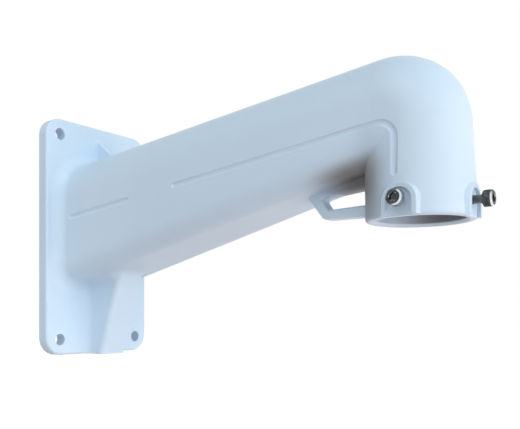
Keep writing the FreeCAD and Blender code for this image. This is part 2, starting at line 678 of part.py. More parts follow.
# Shallow recess in the plate's back, with bosses left round the bolts
back_outline = new_sketch(casting, "BackOutline", "XZ_Plane")
box_section(back_outline, "sizes.plate_width / 2 - sizes.back_rim", "sizes.plate_height / 2 - sizes.back_rim",
            "sizes.back_rim - sizes.plate_height / 2", "sizes.plate_corner - sizes.back_rim",
            "sizes.plate_corner - sizes.back_rim")
last = pocket(casting, "BackRecess", back_outline, "sizes.back_depth", reverse=True)
boss_outline = new_sketch(casting, "BossOutline", "XZ_Plane")
for a in ("sizes.bolt_span_x / 2", "-sizes.bolt_span_x / 2"):
    for b in ("sizes.bolt_span_z / 2", "-sizes.bolt_span_z / 2"):
        round_circle(boss_outline, a, b, "sizes.bolt_boss_r")
last = pad(casting, "Bosses", boss_outline, "sizes.back_depth + 0.4")
bolt_outline = new_sketch(casting, "BoltOutline", "XZ_Plane")
for a in ("sizes.bolt_span_x / 2", "-sizes.bolt_span_x / 2"):
    for b in ("sizes.bolt_span_z / 2", "-sizes.bolt_span_z / 2"):
        round_circle(bolt_outline, a, b, "sizes.bolt_hole_d / 2")
last = pocket(casting, "BoltHoles", bolt_outline, "3 * sizes.plate_thick", midplane=True)

# Recess and tapped hole inside each pad
for side, role, shift, along, to_right in PADS:
    outline = new_sketch(casting, f"{side}RecessOutline", role, shift)
    arch_outline(outline, along, "sizes.arch_z", "sizes.recess_radius", "sizes.rim_z - 3")
    last = pocket(casting, f"{side}Recess", outline, "sizes.pad_face - sizes.recess_floor", reverse=to_right)
    outline = new_sketch(casting, f"{side}HoleOutline", role, shift)
    round_circle(outline, along, "sizes.clamp_z", "sizes.screw_d / 2 + sizes.screw_play")
    last = pocket(casting, f"{side}Hole", outline, "sizes.pad_face - sizes.bore_radius + 4", reverse=to_right)


def on_bore_mouth(p):
    return abs(p.z - rim_z) < 0.01 and math.hypot(p.x, p.y - collar_y) < bore_radius + 0.01


# Lead-in at the mouth of the bore
lead = casting.newObject("PartDesign::Chamfer", "BoreLead")
lead.Base = (last, edges_where(last, on_bore_mouth))
lead.setExpression("Size", "sizes.bore_lead")
finish(lead)
last = lead

# Groove cast into both sides: along the arm, round the corner and down the collar
side_slope = (arm_half_root - arm_half_end) / -elbow_y
side_out = FreeCAD.Vector(1, -side_slope, 0).normalize() * (groove_tool_r - groove_depth)
turn_y = groove_drop_y + groove_turn_r
turn_z = groove_root_z - groove_slope * turn_y - groove_turn_r * math.hypot(1, groove_slope)
lean = math.degrees(math.atan(groove_slope))
groove_bodies = []


def groove_point(side, y):
    """Centre of the groove's tool beside the arm at a distance from the wall."""
    at = FreeCAD.Vector(arm_half_root + side_slope * y, y, groove_root_z - groove_slope * y) + side_out
    return FreeCAD.Vector(side * at.x, at.y, at.z)


def groove_bar(name, start, end):
    """Straight stretch of the groove."""
    way = end - start
    bar = groove.newObject("PartDesign::AdditiveCylinder", name)
    bar.setExpression("Radius", "sizes.groove_tool_r")
    bar.Height = way.Length
    bar.Placement = FreeCAD.Placement(start, FreeCAD.Rotation(FreeCAD.Vector(0, 0, 1), way))


def groove_end(name, at):
    """Round end of a stretch."""
    ball = groove.newObject("PartDesign::AdditiveSphere", name)
    ball.setExpression("Radius", "sizes.groove_tool_r")
    ball.Placement = FreeCAD.Placement(at, FreeCAD.Rotation())


for side, word in ((-1, "Left"), (1, "Right")):
    bend_x = side * (arm_half_end + groove_tool_r - groove_depth)
    drop_x = side * (arm_half_end + 0.75 + groove_tool_r - groove_depth)
    bend_start = groove_point(side, turn_y + groove_turn_r * math.sin(math.radians(lean)))
    bend_start.x = bend_x
    drop_start = FreeCAD.Vector(bend_x, groove_drop_y, turn_z)
    drop_end = FreeCAD.Vector(drop_x, groove_drop_y, groove_end_z)
    stretches = {"Wall": (groove_point(side, groove_first_y), groove_point(side, groove_gap_y)),
                 "Arm": (groove_point(side, groove_second_y), bend_start),
                 "Drop": (drop_start, drop_end)}
    for stretch, (start, end) in stretches.items():
        groove = new_body(f"groove_tool_{word}_{stretch}")
        groove_bar(f"{word}{stretch}Bar", start, end)
        groove_end(f"{word}{stretch}Start", start)
        groove_end(f"{word}{stretch}End", end)
        if stretch == "Arm":
            turn = groove.newObject("PartDesign::AdditiveTorus", f"{word}GrooveTurn")
            turn.setExpression("Radius1", "sizes.groove_turn_r")
            turn.setExpression("Radius2", "sizes.groove_tool_r")
            turn.Angle3 = 90 + lean
            turn.Placement = FreeCAD.Placement(FreeCAD.Vector(bend_x, turn_y, turn_z), FreeCAD.Rotation(
                FreeCAD.Vector(0, -1, 0), FreeCAD.Vector(0, 0, 1), FreeCAD.Vector(-1, 0, 0), "ZXY"))
        doc.recompute()
        groove_bodies.append(groove)

cut = casting.newObject("PartDesign::Boolean", "GrooveCut")
cut.setObjects(groove_bodies)
cut.Type = "Cut"
finish(cut)


def clamp_screw(name, at, outward):
    """Socket head screw, built along its own Z with the seat of the head at zero."""
    body = new_body(name)
    shank_outline = new_sketch(body, f"{name}_shank_outline", "XY_Plane")
    round_circle(shank_outline, "0", "0", "sizes.screw_d / 2")
    shank = pad(body, f"{name}_shank", shank_outline, "sizes.screw_length", reverse=True)
    tip = edges_where(shank, lambda p: abs(p.z + screw_length) < 0.01)
    point = body.newObject("PartDesign::Chamfer", f"{name}_tip")
    point.Base = (shank, tip)
    point.setExpression("Size", "sizes.tip_chamfer")
    finish(point)
    head_outline = new_sketch(body, f"{name}_head_outline", "XY_Plane")
    round_circle(head_outline, "0", "0", "sizes.head_d / 2")
    head = pad(body, f"{name}_head", head_outline, "sizes.head_length")
    crown = edges_where(head, lambda p: abs(p.z - head_length) < 0.01)
    edge = body.newObject("PartDesign::Chamfer", f"{name}_crown")
    edge.Base = (head, crown)
    edge.setExpression("Size", "sizes.head_chamfer")
    finish(edge)
    socket_outline = new_sketch(body, f"{name}_socket_outline", "XY_Plane", "sizes.head_length")
    hexagon(socket_outline, "sizes.socket_width / 2")
    pocket(body, f"{name}_socket", socket_outline, "sizes.socket_depth")
    body.Placement = FreeCAD.Placement(at, FreeCAD.Rotation(FreeCAD.Vector(0, 0, 1), outward))
    doc.recompute()
    return body


def hexagon(sketch, apothem):
    """Six-sided outline round the centre, two of its sides upright."""
    reach = drive_value(apothem) / math.cos(math.radians(30))
    ring = add_circle(sketch, (0, 0), reach)
    sketch.toggleConstruction(ring)
    sketch.addConstraint(Sketcher.Constraint("Coincident", ring, 3, -1, 1))
    angles = [math.radians(30 + 60 * k) for k in range(6)]
    corners = [(reach * math.cos(angle), reach * math.sin(angle)) for angle in angles]
    sides = [add_line(sketch, corners[k], corners[(k + 1) % 6]) for k in range(6)]
    for k in range(6):
        sketch.addConstraint(Sketcher.Constraint("Coincident", sides[k], 2, sides[(k + 1) % 6], 1))
        sketch.addConstraint(Sketcher.Constraint("PointOnObject", sides[k], 1, ring))
    for k in range(1, 6):
        sketch.addConstraint(Sketcher.Constraint("Equal", sides[0], sides[k]))
    sketch.addConstraint(Sketcher.Constraint("Vertical", sides[5]))
    drive(sketch, "Radius", ring, by=f"{apothem} / cos(30 deg)")


screws = [
    clamp_screw("clamp_screw_left", FreeCAD.Vector(-left_seat, collar_y, clamp_z), FreeCAD.Vector(-1, 0, 0)),
    clamp_screw("clamp_screw_front", FreeCAD.Vector(0, collar_y - front_seat, clamp_z),
                FreeCAD.Vector(0, -1, 0)),
    clamp_screw("clamp_screw_right", FreeCAD.Vector(right_seat, collar_y, clamp_z), FreeCAD.Vector(1, 0, 0))]

# Nothing is written until every object has worked out
pieces = [casting] + screws
doc.recompute()
for thing in doc.Objects:
    if "Invalid" in thing.State or "Error" in thing.State:
        raise ValueError(f"{thing.Name} failed")
for piece in pieces:
    if piece.Shape.isNull() or not piece.Shape.isValid() or len(piece.Shape.Solids) != 1:
        raise ValueError(f"{piece.Label} is not one valid solid")

os.makedirs("parts", exist_ok=True)
for piece in pieces:
    piece.Shape.exportStep(f"parts/{piece.Label}.step")
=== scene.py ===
# %% [markdown]
# # A wall bracket for a dome camera
#
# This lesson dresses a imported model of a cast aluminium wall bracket. The model already has the true
# sizes, so nothing is fitted here: the casting keeps its shape and gets a powder coat, and the three
# screws that clamp the camera's spigot get their threads, knurls and sockets.

import json
import math

import bmesh
import bpy
from mathutils import Matrix, Vector


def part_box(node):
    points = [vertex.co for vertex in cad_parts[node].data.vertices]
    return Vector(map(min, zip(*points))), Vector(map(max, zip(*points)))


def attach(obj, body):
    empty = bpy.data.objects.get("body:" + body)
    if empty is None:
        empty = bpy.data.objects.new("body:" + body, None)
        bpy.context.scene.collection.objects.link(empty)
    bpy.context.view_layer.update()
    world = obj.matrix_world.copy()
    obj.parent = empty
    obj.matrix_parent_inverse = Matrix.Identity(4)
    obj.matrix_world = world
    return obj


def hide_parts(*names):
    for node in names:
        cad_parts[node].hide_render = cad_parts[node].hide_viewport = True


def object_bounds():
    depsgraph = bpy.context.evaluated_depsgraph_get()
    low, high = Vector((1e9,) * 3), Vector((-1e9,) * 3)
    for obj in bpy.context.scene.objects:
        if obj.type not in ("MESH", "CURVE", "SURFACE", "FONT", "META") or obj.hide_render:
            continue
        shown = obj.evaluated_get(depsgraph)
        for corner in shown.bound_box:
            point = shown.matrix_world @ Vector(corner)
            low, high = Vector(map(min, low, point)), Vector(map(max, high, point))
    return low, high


MM = 0.001

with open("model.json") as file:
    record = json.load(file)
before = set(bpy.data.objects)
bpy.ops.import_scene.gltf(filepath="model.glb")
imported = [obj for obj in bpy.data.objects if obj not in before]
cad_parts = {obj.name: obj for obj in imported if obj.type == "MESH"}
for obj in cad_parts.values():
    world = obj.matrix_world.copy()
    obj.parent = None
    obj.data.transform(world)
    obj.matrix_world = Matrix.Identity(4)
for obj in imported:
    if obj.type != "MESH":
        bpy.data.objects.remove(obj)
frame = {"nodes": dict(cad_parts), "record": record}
cad_box = [list(corner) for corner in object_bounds()]
print("box of the packed model in metres:", [[round(v, 4) for v in corner] for corner in cad_box])

# %% [markdown]
# ## The camera
#
# The picture was taken from beside and below the arm, at a focal length of about 45 mm on a full frame.
# The upright edges stay upright in it, so the camera looks level and the picture is shifted instead, as
# with a shift lens. A camera tilted upwards would make the plate's sides lean together.

# %% Set up the camera
CAMERA_PLACE = (-0.348029, -0.41848, -0.054352)
CAMERA_HEADING = -0.873

camera_data = bpy.data.cameras.new("camera")
camera_data.sensor_width = 36.0
camera_data.lens = 44.708
camera_data.shift_x = 0.098
camera_data.shift_y = 0.1781
camera_data.clip_start = 0.01
camera_data.clip_end = 20.0
camera = bpy.data.objects.new("camera", camera_data)
camera.location = CAMERA_PLACE
camera.rotation_euler = (math.radians(90), 0, CAMERA_HEADING)
bpy.context.scene.collection.objects.link(camera)
bpy.context.scene.camera = camera
print("camera at", [round(v, 3) for v in camera.location])

# %% [markdown]
# ## Shader maths as plain sums
#
# A material here is a network of nodes, and most of the network is arithmetic. Wrapping a socket in a
# small class lets that arithmetic be written as ordinary expressions: adding two wires adds the Math
# node that adds them. Any other node comes from one method, which sets the node's type and settings
# first and its sockets afterwards, because some settings change which sockets a node has. A finish is
# such a network with one shader at its end, and the light of the world is another.

# %% A wire that can be added and multiplied
class Wire:
    """One value on its way through a network."""

    def __init__(self, network, socket):
        self.network = network
        self.socket = socket

    def maths(self, operation, *values):
        return self.network.node("ShaderNodeMath", {"operation": operation}, dict(enumerate(values)))

    def __add__(self, other):
        return self.maths("ADD", self, other)

    def __sub__(self, other):
        return self.maths("SUBTRACT", self, other)

    def __rsub__(self, other):
        return self.maths("SUBTRACT", other, self)

    def __mul__(self, other):
        return self.maths("MULTIPLY", self, other)

    def __truediv__(self, other):
        return self.maths("DIVIDE", self, other)

    def __rtruediv__(self, other):
        return self.maths("DIVIDE", other, self)

    def __pow__(self, other):
        return self.maths("POWER", self, other)

    def __rpow__(self, other):
        return self.maths("POWER", other, self)

    __radd__ = __add__
    __rmul__ = __mul__

    def over(self, low, high):
        """0 below low, 1 above high and a smooth step between them."""
        settings = {"interpolation_type": "SMOOTHSTEP", "clamp": True}
        values = {"Value": self, "From Min": low, "From Max": high}
        return self.network.node("ShaderNodeMapRange", settings, values)

    def under(self, low, high):
        """1 below low, 0 above high and a smooth step between them."""
        return 1.0 - self.over(low, high)

    def larger(self, other):
        return self.maths("MAXIMUM", self, other)

    def size(self):
        return self.maths("ABSOLUTE", self)


# %% A network that adds its own nodes
class Network:
    """A tree of nodes, built from wires."""

    def __init__(self, tree):
        self.tree = tree

    def node(self, kind, settings, values, out=0):
        made = self.tree.nodes.new(kind)
        for key, value in settings.items():
            setattr(made, key, value)
        self.feed(made, values)
        return Wire(self, made.outputs[out])

    def feed(self, made, values):
        for key, value in values.items():
            if isinstance(value, Wire):
                self.tree.links.new(value.socket, made.inputs[key])
            else:
                made.inputs[key].default_value = value

    def axes(self, at):
        """The X, Y and Z of a place or a direction."""
        first = self.node("ShaderNodeSeparateXYZ", {}, {0: at})
        return [Wire(self, socket) for socket in first.socket.node.outputs]

    def seen_directly(self):
        """1 for the camera's rays and for reflections, 0 for light that falls on things."""
        camera_ray = self.node("ShaderNodeLightPath", {}, {}, "Is Camera Ray")
        glossy_ray = self.node("ShaderNodeLightPath", {}, {}, "Is Glossy Ray")
        clear_ray = self.node("ShaderNodeLightPath", {}, {}, "Is Transmission Ray")
        return camera_ray.larger(glossy_ray).larger(clear_ray)


# %% A finish for a piece
class Finish(Network):
    """A material with one Principled shader."""

    def __init__(self, name):
        self.material = bpy.data.materials.new(name)
        self.material.use_nodes = True
        super().__init__(self.material.node_tree)
        self.shader = self.tree.nodes["Principled BSDF"]
        self.place = self.node("ShaderNodeTexCoord", {}, {}, "Object")

    def facing(self):
        """The direction that the surface faces."""
        return self.node("ShaderNodeTexCoord", {}, {}, "Normal")

    def moved(self, scale=(1, 1, 1), shift=(0, 0, 0), turn=(0, 0, 0), at=None):
        values = {"Vector": at or self.place, "Location": shift, "Rotation": turn, "Scale": scale}
        return self.node("ShaderNodeMapping", {}, values)

    def noise(self, scale, detail=2.0, rough=0.5, at=None):
        values = {"Vector": at or self.place, "Scale": scale, "Detail": detail, "Roughness": rough}
        return self.node("ShaderNodeTexNoise", {}, values)

    def between(self, factor, first, second):
        """Mix of two colours."""
        colours = [(*value, 1.0) if isinstance(value, tuple) else value for value in (first, second)]
        values = {0: factor, 6: colours[0], 7: colours[1]}
        return self.node("ShaderNodeMix", {"data_type": "RGBA"}, values, out=2)

    def bump(self, height, distance, strength, under=None):
        values = {"Height": height, "Distance": distance, "Strength": strength}
        if under:
            values["Normal"] = under
        return self.node("ShaderNodeBump", {}, values)

    def close(self, values):
        """Feed the shader itself."""
        self.feed(self.shader, values)
        print("finish", self.material.name, "has", len(self.tree.nodes), "nodes")
        return self.material


# %% [markdown]
# ## The powder coat
#
# The casting is coated in a cool white powder, baked until it flows. It is glossy but not a mirror: the
# film has a faint orange peel a millimetre or two across, a finer grain of powder in it, and the casting
# under it is never quite flat. The colour is a pale blue white, and it collects a little grey where the
# air blows dust. All of that is noise of different sizes in object coordinates, so the coat stays where
# it is when the camera moves.
#
# In the corner under the elbow and inside the collar, shade is painted into the coat's colour as a dark
# grey. A mask finds those places from two things: where a point is, and which way its surface faces. The
# places come from the landmarks below. The bore's axis and radius are read from the imported record, and
# the rest are sizes of the casting that the record leaves out.

# %% Landmarks of the casting
collar_bore = next(mount for mount in frame["record"]["mounts"] if mount["name"] == "collar_bore")
COLLAR_Y = collar_bore["pos_m"][1]
BORE_RADIUS = collar_bore["dims"]["r_mm"] * MM
COLLAR_RADIUS = 29.7 * MM
ARM_END_RADIUS = 30.0 * MM
ARM_END_Z = 47.8 * MM
ARM_SLOPE = 0.24
EYE_HALF = 5.1 * MM
EYE_END_Y = -249.2 * MM
EYE_HOLE_TOP = 12.5 * MM
CORNER_Y = -246.0 * MM
CORNER_Z = 13.0 * MM
print("the collar's bore is", 2 * BORE_RADIUS / MM, "mm across, with its axis at Y", COLLAR_Y)

# %% [markdown]
# Each pair below says where a step in the mask begins and where it ends. The first three are parts of
# a direction one unit long, and the others are heights or distances. ARM_SHORTENING makes a distance
# along the arm count for more than one across the collar, and the bore's shaded side is a direction in X and
# Y.
#
# In the corner, only what looks down, or back at the wall, gets the painted shade. The arm's underside and
# the collar's back meet at the heights where the second of these fades out, so no edge shows in the tint.
# The safety eye stands in that corner too, but it reaches out of it, so only the upper part of its two flat
# sides is masked. In the bore the painted shade darkens towards the side whose wall is turned from the front
# light.

# %% Find the places for painted shade
LOOKS_DOWN = (0.45, 0.95)
LOOKS_BACK = (0.0, 0.6)
LOOKS_SIDEWAYS = (0.4, 0.8)
RIM_TO_COLLAR = (-1.0 * MM, 3.0 * MM)
COLLAR_TO_ARM = (20.0 * MM, 36.0 * MM)
EYE_SIDES = (EYE_HALF, EYE_HALF + 0.3 * MM)
EYE_TO_COLLAR = (EYE_END_Y, EYE_END_Y + 0.4 * MM)
EYE_BAR = (EYE_HOLE_TOP - 2.0 * MM, EYE_HOLE_TOP)
EYE_ROOT = (EYE_HOLE_TOP, EYE_HOLE_TOP + 0.5 * MM)
CORNER_REACH = (4.0 * MM, 44.0 * MM)
ARM_SHORTENING = 1.4
BORE_WALL = (BORE_RADIUS + 0.35 * MM, BORE_RADIUS + 0.55 * MM)
BORE_TOP = (20.0 * MM, 21.0 * MM)
BORE_LIP = (-6.4 * MM, -4.5 * MM)
# Painted shade in the bore darkens towards this side.
SHADED_SIDE = (0.64, -0.77)
SHADED_SIDE_RAMP = (-7.0 * MM, 19.0 * MM)


def painted_shade(coat):
    """1 where shade is painted in: the corner under the elbow and the inside of the collar."""
    x, y, z = coat.axes(coat.place)
    facing_x, facing_y, facing_z = coat.axes(coat.facing())
    down = (0.0 - facing_z).over(*LOOKS_DOWN) * z.over(*RIM_TO_COLLAR)
    back = facing_y.over(*LOOKS_BACK) * z.under(*COLLAR_TO_ARM)
    sideways = facing_x.size().over(*LOOKS_SIDEWAYS)
    eye = x.size().under(*EYE_SIDES) * y.over(*EYE_TO_COLLAR)
    inwards = down.larger(back) * (1.0 - eye * z.under(*EYE_ROOT))
    inwards = inwards.larger(sideways * eye * z.over(*EYE_BAR))
    along = (y - CORNER_Y).larger(ARM_SHORTENING * (y - CORNER_Y))
    from_corner = (along ** 2.0 + (z - CORNER_Z) ** 2.0) ** 0.5
    corner = from_corner.under(*CORNER_REACH) * inwards
    from_axis = (x ** 2.0 + (y - COLLAR_Y) ** 2.0) ** 0.5
    inside = from_axis.under(*BORE_WALL) * z.under(*BORE_TOP) * z.over(*BORE_LIP)
    # Painted shade in the bore, darker towards the side turned from the front light.
    to_shaded_side = SHADED_SIDE[0] * x + SHADED_SIDE[1] * (y - COLLAR_Y)
    return corner.larger(inside * to_shaded_side.over(*SHADED_SIDE_RAMP))


# %% [markdown]
# The corner itself is cast with a soft inside radius. The model has the two surfaces meet in a line, so
# the finish turns the normal instead: near the line both sides lean towards the direction halfway between
# the collar's and the arm's. The collar faces straight out from its axis there, and the arm's end is part
# of a lying cylinder whose underside slopes. The two directions add up to about 1.4 units, so HALFWAY
# brings their sum back to one. The pairs keep the change off the collar's inside, the eye, the groove and
# the arm's flank.

# %% Ease the corner
SOFT_REACH = (0.0, 11.0 * MM)
THROUGH_COLLAR_WALL = (27.5 * MM, 28.5 * MM)
BESIDE_EYE = (6.0 * MM, 12.0 * MM)
BEHIND_GROOVE = (-272.0 * MM, -262.0 * MM)
UNDER_FLANK = (36.0 * MM, 50.0 * MM)
HALFWAY = 0.7


def soft_corner(coat):
    """The normal, eased where the arm's underside runs into the collar."""
    x, y, z = coat.axes(coat.place)
    back, lift = y - COLLAR_Y, z - ARM_END_Z
    from_axis = (x ** 2.0 + back ** 2.0) ** 0.5
    from_arm = (x ** 2.0 + lift ** 2.0) ** 0.5
    near = (from_axis - COLLAR_RADIUS).size().under(*SOFT_REACH)
    near = near * (from_arm - ARM_END_RADIUS).size().under(*SOFT_REACH)
    near = near * from_axis.over(*THROUGH_COLLAR_WALL) * x.size().over(*BESIDE_EYE)
    near = near * y.over(*BEHIND_GROOVE) * z.under(*UNDER_FLANK)
    shared = (x / from_axis + x / from_arm, back / from_axis - ARM_SLOPE, lift / from_arm)
    eased = {}
    for number, own in enumerate(coat.axes(coat.facing())):
        eased[number] = own + near * (HALFWAY * shared[number] - own)
    mixed = coat.node("ShaderNodeCombineXYZ", {}, eased)
    return coat.node("ShaderNodeVectorMath", {"operation": "NORMALIZE"}, {0: mixed})


# %% Mix the powder coat
COAT_LIGHT = (0.575, 0.752, 0.908)
COAT_SHADE = (0.550, 0.722, 0.875)
# Painted shade: the dark grey of the corner under the elbow and of the collar's inside.
PAINTED_SHADE_GREY = (0.215, 0.220, 0.225)
DUST = (0.50, 0.60, 0.70)
DUST_COVER = 0.16
COAT_ROUGH = 0.36
CLOUD_SCALE = 9.0
CLOUDS = (0.35, 0.7)
DUST_SCALE = 160.0
DUST_PATCHES = (0.58, 0.8)
FLOW_SCALE = 26.0
PEEL_SCALE = 620.0
GRAIN_SCALE = 2600.0
FLOW_HEIGHT = 0.5 * MM
PEEL_HEIGHT = 0.05 * MM
GRAIN_HEIGHT = 0.012 * MM


def powder_coat():
    """Cool white powder coat on a casting."""
    coat = Finish("powder_coat_white")
    cloud = coat.noise(CLOUD_SCALE, 3.0).over(*CLOUDS)
    dust = coat.noise(DUST_SCALE, 4.0, 0.7).over(*DUST_PATCHES)
    colour = coat.between(cloud, COAT_SHADE, COAT_LIGHT)
    # Painted shade in the corner under the elbow and inside the collar.
    colour = coat.between(painted_shade(coat), colour, PAINTED_SHADE_GREY)
    colour = coat.between(dust * DUST_COVER, colour, DUST)
    peel = coat.noise(PEEL_SCALE, 2.0, 0.55)
    skin = coat.bump(coat.noise(FLOW_SCALE, 2.0), FLOW_HEIGHT, 0.35, soft_corner(coat))
    skin = coat.bump(peel, PEEL_HEIGHT, 0.55, skin)
    skin = coat.bump(coat.noise(GRAIN_SCALE, 1.0), GRAIN_HEIGHT, 0.5, skin)
    rough = COAT_ROUGH + 0.10 * peel + 0.10 * dust
    return coat.close({"Base Color": colour, "Roughness": rough, "Normal": skin, "Specular IOR Level": 0.42})


coat_material = powder_coat()

# %% [markdown]
# ## The casting
#
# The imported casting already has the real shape, down to its groove and pads, and it carries the normals
# of its true surfaces, so long thin triangles shade as smoothly as the metal. A merged copy would lose
# them and smear the groove's lips. So the casting stays as it is and only its material slot is changed.

# %% Coat the casting
casting = frame["nodes"]["bracket_casting"]
for slot in casting.material_slots:
    slot.material = coat_material
low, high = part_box("bracket_casting")
print("casting is", [round(v / MM, 1) for v in high - low], "mm across")

# %% [markdown]
# ## The screw steel
#
# The clamp screws are hardened steel with a dark oxide skin, oiled and greasy from the works. A little of
# the skin is gone all round the slope round the face. Painted highlights in bare steel colour lie on the
# slope, on the rim of the socket and on one side of the knurl, all on the side of each screw that catches
# the light, with a painted glint on the slope opposite. Each screw points another way, so the finish is
# moved and turned with a Mapping node until its Z runs along the screw from the seat. Height and radius then
# say which part of the head a point is on, and the side of the painted highlight is a direction in that
# frame.

# %% Sizes of a screw
HEAD_RADIUS = 4.4 * MM
HEAD_HEIGHT = 5.0 * MM
HEAD_SLOPE = 0.75 * MM
FACE_RADIUS = HEAD_RADIUS - HEAD_SLOPE
SLOPE_FOOT = HEAD_HEIGHT - HEAD_SLOPE
KNURL_FOOT = 0.7 * MM
KNURL_TOP = HEAD_HEIGHT - 1.45 * MM
KNURL_DEPTH = 0.17 * MM
SOCKET_HALF = 2.0 * MM
SOCKET_CORNER = SOCKET_HALF / math.cos(math.radians(30))
SOCKET_CHAMFER = 0.35 * MM
SOCKET_DEPTH = 2.5 * MM
DRILL_TIP = 0.7 * MM
THREAD_CREST = 2.48 * MM
THREAD_ROOT = 2.03 * MM
THREAD_LENGTH = 7.2 * MM
THREAD_TIP = 0.9 * MM
PITCH = 0.8 * MM
ROUND_STEPS = 96
THREAD_STEPS = 40
print("thread turns on a screw:", round(THREAD_LENGTH / PITCH))

# %% [markdown]
# The mask for the bare steel and the painted highlights works with bands of height and radius. On the slope
# and the knurl their edges are ragged, because the same noise that makes the grease patchy moves them in and
# out. Two pairs say how far round the painted highlight reaches on the slope and on the knurl, and a third
# makes the painted glint, a small spot opposite, where the slope catches the light. All three are cosines of
# the angle from their side.

# %% Paint the highlights and take a little skin off
RAGGED_EDGE = 0.30 * MM
SLOPE_HEIGHT = (SLOPE_FOOT - 0.30 * MM, SLOPE_FOOT - 0.10 * MM)
SLOPE_RADIUS = (FACE_RADIUS - 0.10 * MM, FACE_RADIUS + 0.10 * MM)
RIM_HEIGHT = (HEAD_HEIGHT - 0.40 * MM, HEAD_HEIGHT - 0.25 * MM)
RIM_RADIUS = (SOCKET_CORNER + 0.05 * MM, SOCKET_CORNER + 0.15 * MM)
KNURL_RADIUS = (HEAD_RADIUS - 0.40 * MM, HEAD_RADIUS - 0.25 * MM)
ABOVE_SEAT = (0.30 * MM, 0.60 * MM)
BELOW_SLOPE = (SLOPE_FOOT - 0.10 * MM, SLOPE_FOOT)
# Painted highlight on the slope and the knurl, and a painted glint opposite: how far round each reaches.
HIGHLIGHT_REACH = (-0.1, 0.5)
KNURL_HIGHLIGHT_REACH = (0.2, 0.8)
PAINTED_GLINT = (0.90, 0.97)
LEFT_ALL_ROUND = 0.10
# Painted highlight on the socket's rim.
RIM_HIGHLIGHT = 0.6


def bare_and_highlight(steel, here, blotch, highlight_side, knurl_highlight):
    """1 where the slope, the rim of the socket or the knurl shows bare steel: a little wear all round, and
    painted highlights and a painted glint.
    """
    across, along, up = steel.axes(here)
    out = (across ** 2.0 + along ** 2.0) ** 0.5
    ragged = RAGGED_EDGE * (blotch - 0.5)
    to_highlight_side = (highlight_side[0] * across + highlight_side[1] * along) / out
    # Painted highlight on the lit side and a painted glint opposite, over a little wear all round.
    wear_and_highlight = (LEFT_ALL_ROUND + to_highlight_side.over(*HIGHLIGHT_REACH)).larger((0.0 - to_highlight_side).over(*PAINTED_GLINT))
    slope = (up + ragged).over(*SLOPE_HEIGHT) * (out + ragged).over(*SLOPE_RADIUS)
    rim = up.over(*RIM_HEIGHT) * out.under(*RIM_RADIUS)
    knurl = (out + ragged).over(*KNURL_RADIUS) * up.over(*ABOVE_SEAT) * up.under(*BELOW_SLOPE)
    # The knurl's bare side is a painted highlight.
    knurl = knurl * to_highlight_side.over(*KNURL_HIGHLIGHT_REACH) * knurl_highlight
    patchy = 0.65 + 0.60 * blotch
    return (slope * wear_and_highlight * patchy).larger(rim * wear_and_highlight * RIM_HIGHLIGHT).larger(knurl)


# %% Mix the steel
OXIDE = (0.075, 0.085, 0.092)
GREASY_OXIDE = (0.028, 0.032, 0.035)
THREAD_OXIDE = (0.24, 0.27, 0.26)
# Bare steel, also the colour of the painted highlights.
BARE_STEEL_AND_HIGHLIGHT = (0.66, 0.70, 0.72)
BELOW_SEAT = (-0.6 * MM, -0.1 * MM)
STEEL_ROUGH = 0.22
BLOTCH_SCALE = 420.0
GREASE = (0.40, 0.70)
SCRATCH_SCALE = 900.0
SCRATCH_STRETCH = (1.0, 1.0, 0.12)
TOOL_RINGS = {"Scale": 1400.0, "Distortion": 1.5, "Detail": 2.0, "Detail Scale": 3.0}
RING_HEIGHT = 0.004 * MM
SCRATCH_HEIGHT = 0.008 * MM


def screw_steel(name, turn, shift, highlight_side, knurl_highlight):
    """Oxidised steel, with painted highlights in bare steel colour on the side that catches the light."""
    steel = Finish(name)
    here = steel.moved(shift=shift, turn=turn)
    blotch = steel.noise(BLOTCH_SCALE, 3.0, 0.6, here)
    scratch = steel.noise(SCRATCH_SCALE, 2.0, 0.6, steel.moved(scale=SCRATCH_STRETCH, at=here))
    grease = blotch.over(*GREASE)
    thread = steel.axes(here)[2].under(*BELOW_SEAT)
    colour = steel.between(grease, OXIDE, GREASY_OXIDE)
    colour = steel.between(thread, colour, THREAD_OXIDE)
    # Bare steel where the skin is gone, and painted highlights.
    colour = steel.between(bare_and_highlight(steel, here, blotch, highlight_side, knurl_highlight), colour, BARE_STEEL_AND_HIGHLIGHT)
    settings = {"wave_type": "RINGS", "rings_direction": "Z"}
    rings = steel.node("ShaderNodeTexWave", settings, {"Vector": here, **TOOL_RINGS})
    skin = steel.bump(rings, RING_HEIGHT, 0.6)
    skin = steel.bump(scratch, SCRATCH_HEIGHT, 0.5, skin)
    rough = STEEL_ROUGH + 0.14 * grease + 0.10 * scratch
    return steel.close({"Base Color": colour, "Metallic": 1.0, "Roughness": rough, "Normal": skin})


# %% [markdown]
# ## The clamp screws
#
# Three socket head screws hold the camera's spigot in the collar. A screw is a turned part, so most of it
# is a profile spun round its axis. The socket starts as the innermost ring of the head, pulled out to a
# hexagon and pushed down. The knurl is every other line of the head's side, pressed in a little.

# %% Spin the head
def spin_profile(bm, profile, angle, steps, merge, climb=0.0):
    """Spin a line of (radius, height) points round Z."""
    points = [bm.verts.new((radius, 0, height)) for radius, height in profile]
    edges = [bm.edges.new(pair) for pair in zip(points, points[1:])]
    bmesh.ops.spin(bm, geom=points + edges, cent=(0, 0, 0), axis=(0, 0, 1), dvec=(0, 0, climb / steps),
                   angle=angle, steps=steps, use_merge=climb == 0.0, use_duplicate=False)
    bmesh.ops.remove_doubles(bm, verts=bm.verts, dist=merge)


def ring_at(bm, height, radius, reach=0.02 * MM):
    """Vertices at one height and radius."""
    return [v for v in bm.verts if abs(v.co.z - height) < reach and abs(v.co.xy.length - radius) < reach]


